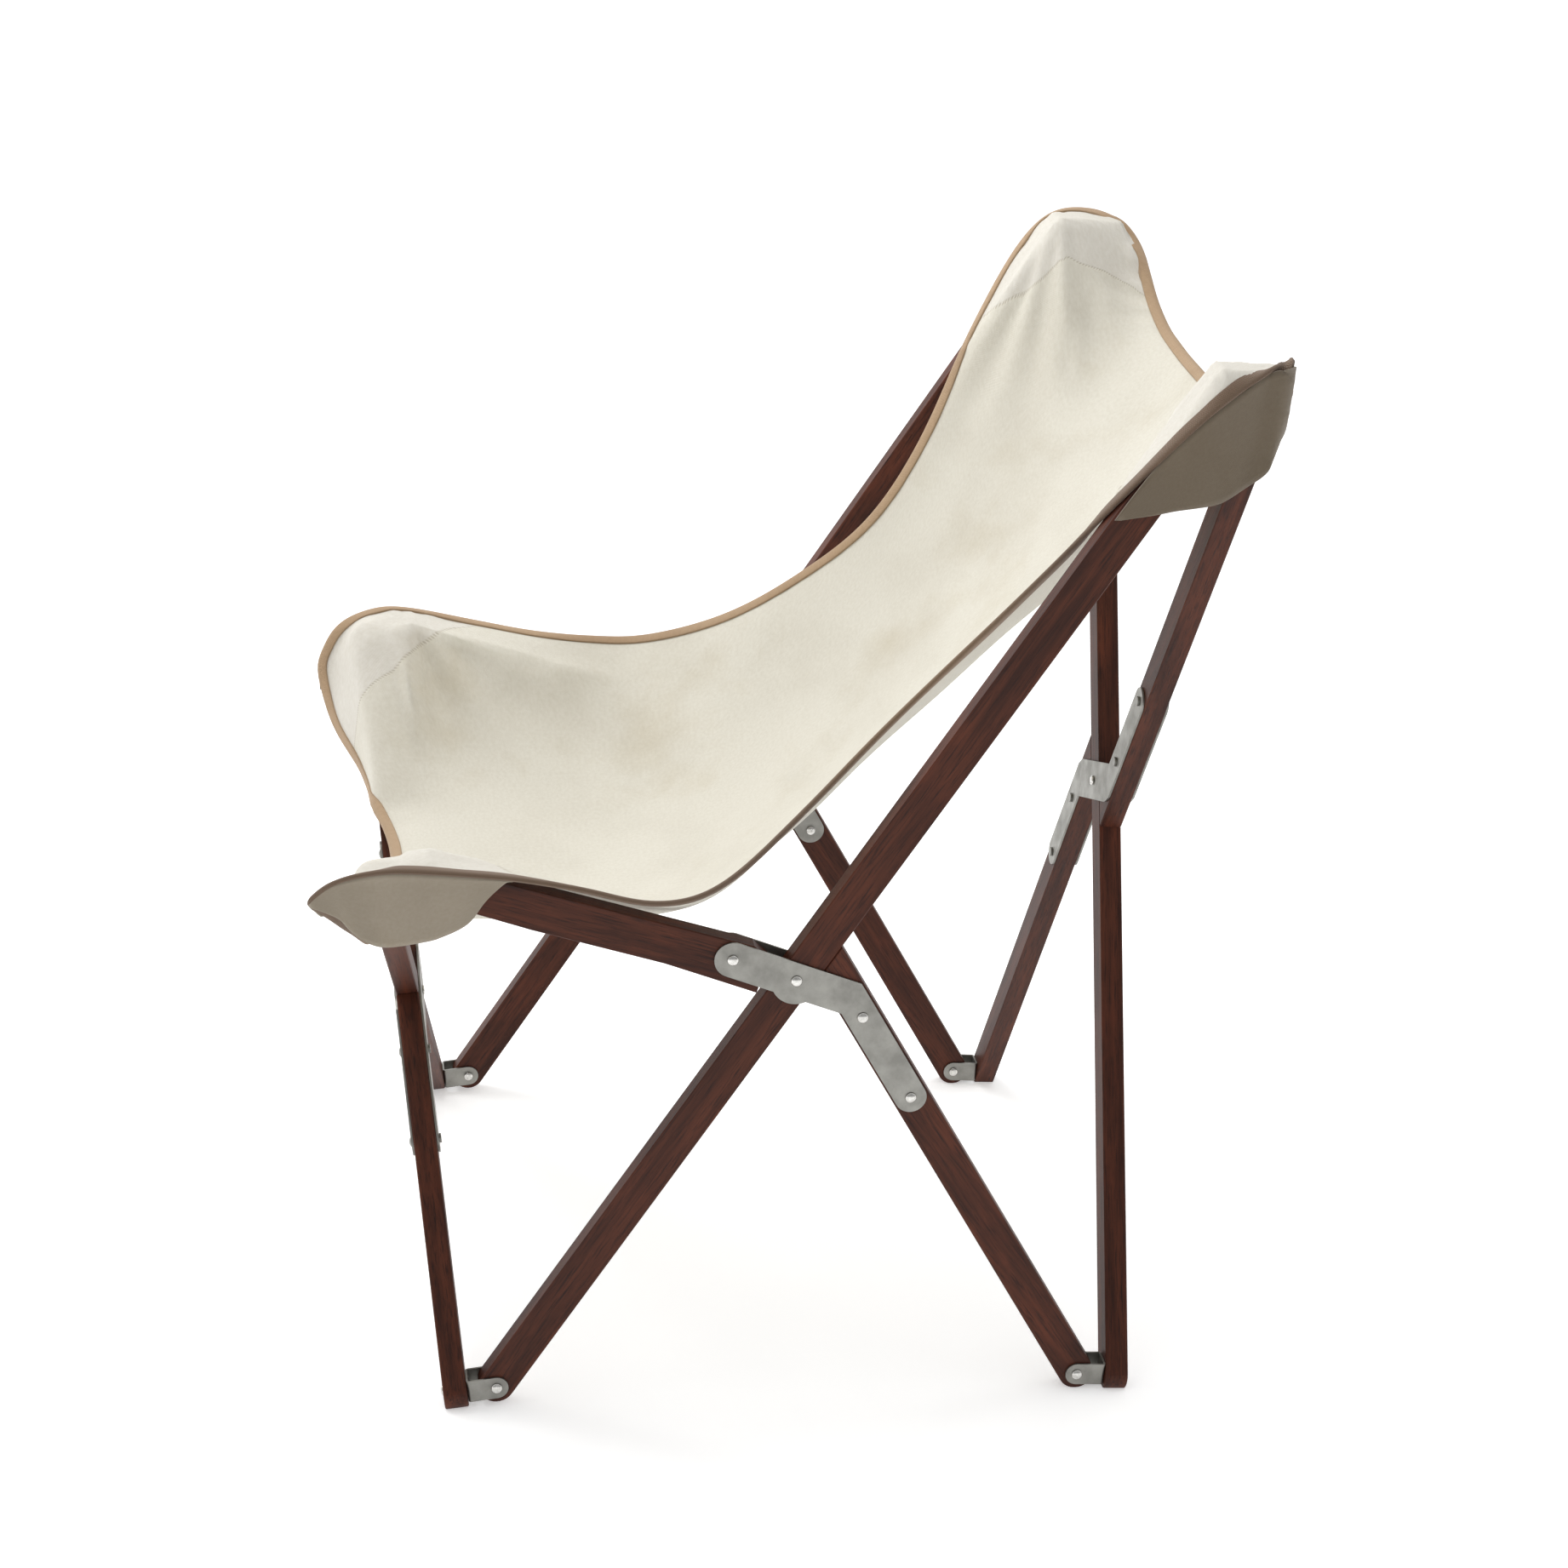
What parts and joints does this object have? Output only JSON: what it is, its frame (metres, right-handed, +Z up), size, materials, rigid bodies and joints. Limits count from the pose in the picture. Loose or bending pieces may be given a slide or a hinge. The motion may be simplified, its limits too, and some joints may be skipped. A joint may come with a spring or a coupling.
{
  "type": "butterfly sling chair",
  "caption": "Folding wooden sling chair: crossed sticks on riveted steel plates and brackets fold to a bundle under a canvas sling with corner pockets.",
  "frame": {"origin": "on the floor under the middle of the box round the whole open chair", "axes": "+X towards the near side of the picture, the side on the right of someone facing the chair; +Y towards the back; +Z up"},
  "size_m": [0.7468, 0.8772, 1.0552],
  "materials": {
    "wood": "stained dark reddish brown, satin oil",
    "plate_steel": "zinc plated sheet steel, satin",
    "rivet_steel": "nickel plated dome rivets, bright",
    "canvas": "heavy undyed cotton canvas, matt, with tan binding"
  },
  "bodies": {
    "near_rear_foot": {"near_rear_foot_bracket": "plate_steel", "near_rear_foot_hinge_rivet": "rivet_steel", "near_rear_foot_swivel_rivet": "rivet_steel"},
    "rear_long": {"rear_long_stick": "wood", "rear_cross_rivet": "rivet_steel"},
    "rear_half": {"rear_lower_half_stick": "wood", "rear_upper_half_stick": "wood", "rear_inner_cross_plate": "plate_steel", "rear_outer_cross_plate": "plate_steel"},
    "far_rear_foot": {"far_rear_foot_bracket": "plate_steel", "far_rear_foot_hinge_rivet": "rivet_steel", "far_rear_foot_swivel_rivet": "rivet_steel"},
    "near_back_top": {"near_back_top_bracket": "plate_steel", "near_back_top_swivel_rivet": "rivet_steel"},
    "far_back_top": {"far_back_top_bracket": "plate_steel", "far_back_top_swivel_rivet": "rivet_steel"},
    "front_long": {"front_long_stick": "wood", "front_cross_rivet": "rivet_steel", "far_front_foot_swivel_rivet": "rivet_steel"},
    "front_half": {"front_lower_half_stick": "wood", "front_upper_half_stick": "wood", "front_inner_cross_plate": "plate_steel", "front_outer_cross_plate": "plate_steel", "near_front_foot_swivel_rivet": "rivet_steel", "far_front_top_swivel_rivet": "rivet_steel"},
    "sling": {"canvas_sling": "canvas", "near_back_pocket": "canvas", "far_back_pocket": "canvas", "near_front_pocket": "canvas", "far_front_pocket": "canvas"},
    "near_leg": {"near_leg_stick": "wood", "near_outer_elbow_plate": "plate_steel", "near_inner_elbow_plate": "plate_steel", "near_crossing_pivot_rivet": "rivet_steel", "near_arm_pivot_rivet": "rivet_steel", "near_upper_plate_rivet": "rivet_steel", "near_lower_plate_rivet": "rivet_steel"},
    "near_back_stick": {"near_back_stick": "wood"},
    "near_seat_arm": {"near_seat_arm": "wood"},
    "near_front_foot": {"near_front_foot_bracket": "plate_steel", "near_front_foot_hinge_rivet": "rivet_steel"},
    "near_front_top": {"near_front_top_bracket": "plate_steel", "near_front_top_hinge_rivet": "rivet_steel", "near_front_top_swivel_rivet": "rivet_steel"},
    "far_leg": {"far_leg_stick": "wood", "far_outer_elbow_plate": "plate_steel", "far_inner_elbow_plate": "plate_steel", "far_crossing_pivot_rivet": "rivet_steel", "far_arm_pivot_rivet": "rivet_steel", "far_upper_plate_rivet": "rivet_steel", "far_lower_plate_rivet": "rivet_steel"},
    "far_back_stick": {"far_back_stick": "wood"},
    "far_seat_arm": {"far_seat_arm": "wood"},
    "far_front_foot": {"far_front_foot_bracket": "plate_steel", "far_front_foot_hinge_rivet": "rivet_steel"},
    "far_front_top": {"far_front_top_bracket": "plate_steel", "far_front_top_hinge_rivet": "rivet_steel"}
  },
  "joints": [
    {"name": "rear_fold", "type": "hinge", "parent": "near_rear_foot", "child": "rear_long", "pos_m": [0.33213, 0.31847, 0.0169], "axis": [0, 0.9988, -0.0482], "range_deg": [0, 30], "deforming": ["canvas_sling", "near_back_pocket", "far_back_pocket", "near_front_pocket", "far_front_pocket"]},
    {"name": "rear_cross_turn", "type": "hinge", "parent": "rear_long", "child": "rear_half", "pos_m": [0, 0.34284, 0.52235], "axis": [0, 0.9988, -0.0482], "range_deg": [-60.01, 0]},
    {"name": "far_rear_foot_swivel", "type": "hinge", "parent": "rear_half", "child": "far_rear_foot", "pos_m": [-0.33213, 0.31847, 0.0169], "axis": [0, 0.9988, -0.0482], "range_deg": [0, 30.01]},
    {"name": "near_back_top_swivel", "type": "hinge", "parent": "rear_half", "child": "near_back_top", "pos_m": [0.33213, 0.36722, 1.02781], "axis": [0, 0.9988, -0.0482], "range_deg": [0, 30.01]},
    {"name": "far_back_top_swivel", "type": "hinge", "parent": "rear_long", "child": "far_back_top", "pos_m": [-0.33213, 0.36722, 1.02781], "axis": [0, 0.9988, -0.0482], "range_deg": [-30.01, 0]},
    {"name": "near_leg_fold", "type": "hinge", "parent": "near_rear_foot", "child": "near_leg", "pos_m": [0.33213, 0.31847, 0.0169], "axis": [1, 0, 0], "range_deg": [-34.16, 0]},
    {"name": "near_back_stick_fold", "type": "hinge", "parent": "near_leg", "child": "near_back_stick", "pos_m": [0.33213, 0.01021, 0.45612], "axis": [1, 0, 0], "range_deg": [0, 60.46]},
    {"name": "near_front_foot_turn", "type": "hinge", "parent": "near_back_stick", "child": "near_front_foot", "pos_m": [0.33213, -0.26152, 0.021], "axis": [1, 0, 0], "range_deg": [-30.7, 0]},
    {"name": "near_seat_arm_fold", "type": "hinge", "parent": "near_leg", "child": "near_seat_arm", "pos_m": [0.33213, -0.05086, 0.47811], "axis": [1, 0, 0], "range_deg": [-26.77, 0]},
    {"name": "near_front_top_turn", "type": "hinge", "parent": "near_seat_arm", "child": "near_front_top", "pos_m": [0.33213, -0.33862, 0.55968], "axis": [1, 0, 0], "range_deg": [0, 56.52]},
    {"name": "far_leg_fold", "type": "hinge", "parent": "far_rear_foot", "child": "far_leg", "pos_m": [-0.33213, 0.31847, 0.0169], "axis": [1, 0, 0], "range_deg": [-34.16, 0]},
    {"name": "far_back_stick_fold", "type": "hinge", "parent": "far_leg", "child": "far_back_stick", "pos_m": [-0.33213, 0.01021, 0.45612], "axis": [1, 0, 0], "range_deg": [0, 60.46]},
    {"name": "far_front_foot_turn", "type": "hinge", "parent": "far_back_stick", "child": "far_front_foot", "pos_m": [-0.33213, -0.26152, 0.021], "axis": [1, 0, 0], "range_deg": [-30.7, 0]},
    {"name": "far_seat_arm_fold", "type": "hinge", "parent": "far_leg", "child": "far_seat_arm", "pos_m": [-0.33213, -0.05086, 0.47811], "axis": [1, 0, 0], "range_deg": [-26.77, 0]},
    {"name": "far_front_top_turn", "type": "hinge", "parent": "far_seat_arm", "child": "far_front_top", "pos_m": [-0.33213, -0.33862, 0.55968], "axis": [1, 0, 0], "range_deg": [0, 56.52]},
    {"name": "front_fold", "type": "hinge", "parent": "near_front_top", "child": "front_long", "pos_m": [0.33213, -0.33862, 0.55968], "axis": [0, -0.9899, -0.1417], "range_deg": [0, 46.06]},
    {"name": "front_cross_turn", "type": "hinge", "parent": "front_long", "child": "front_half", "pos_m": [0, -0.30007, 0.29034], "axis": [0, -0.9899, -0.1417], "range_deg": [-92.11, 0]},
    {"name": "sling_swing", "type": "hinge", "parent": "near_back_top", "child": "sling", "pos_m": [0.33213, 0.36722, 1.02781], "axis": [1, 0, 0], "range_deg": [0, 29.01]}
  ],
  "couplings": [
    {"joint": "rear_cross_turn", "follows": "rear_fold", "ratio": -2},
    {"joint": "far_rear_foot_swivel", "follows": "rear_fold", "ratio": 1},
    {"joint": "near_back_top_swivel", "follows": "rear_fold", "ratio": 1},
    {"joint": "far_back_top_swivel", "follows": "rear_fold", "ratio": -1},
    {"joint": "near_leg_fold", "follows": "rear_fold", "ratio": -1.1383},
    {"joint": "near_back_stick_fold", "follows": "rear_fold", "ratio": 2.0149},
    {"joint": "near_front_foot_turn", "follows": "rear_fold", "ratio": -1.0231},
    {"joint": "near_seat_arm_fold", "follows": "rear_fold", "ratio": -0.89193},
    {"joint": "near_front_top_turn", "follows": "rear_fold", "ratio": 1.8838},
    {"joint": "far_leg_fold", "follows": "rear_fold", "ratio": -1.1383},
    {"joint": "far_back_stick_fold", "follows": "rear_fold", "ratio": 2.0149},
    {"joint": "far_front_foot_turn", "follows": "rear_fold", "ratio": -1.0231},
    {"joint": "far_seat_arm_fold", "follows": "rear_fold", "ratio": -0.89193},
    {"joint": "far_front_top_turn", "follows": "rear_fold", "ratio": 1.8838},
    {"joint": "front_fold", "follows": "rear_fold", "ratio": 1.535},
    {"joint": "front_cross_turn", "follows": "rear_fold", "ratio": -3.0701},
    {"joint": "sling_swing", "follows": "rear_fold", "ratio": 0.96667}
  ]
}
